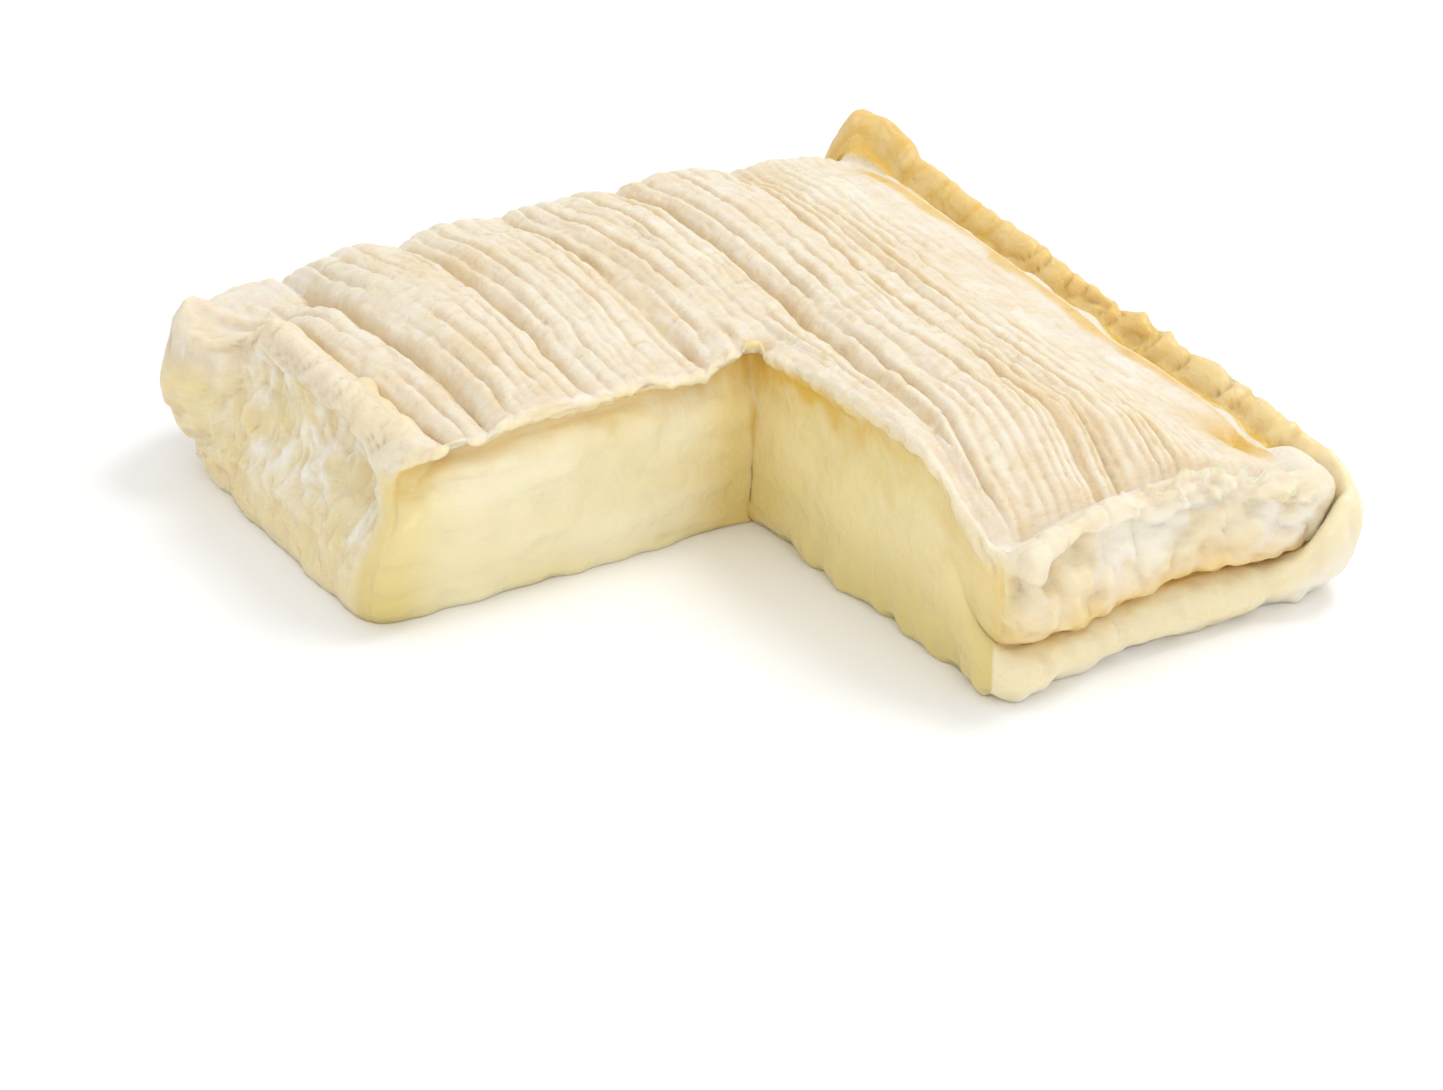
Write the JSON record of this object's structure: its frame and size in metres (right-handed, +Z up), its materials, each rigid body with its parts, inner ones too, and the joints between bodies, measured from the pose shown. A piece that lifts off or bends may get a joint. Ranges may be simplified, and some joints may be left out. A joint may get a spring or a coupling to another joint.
{
  "type": "cut square soft cheese",
  "caption": "Square soft-ripened cheese slab with a folded, ridged rind, one quarter cut out, for a board, counter or table.",
  "frame": {"origin": "under the middle of the overall size, on the surface that the cheese rests on", "axes": "+Z up; +X along the folded front side to the right, towards the rolled rim; +Y to the back; the missing quarter is at the front left"},
  "size_m": [0.1178, 0.1222, 0.0285],
  "materials": {
    "rind": "matte"
  },
  "bodies": {
    "root": {"cheese": "rind"}
  },
  "joints": []
}
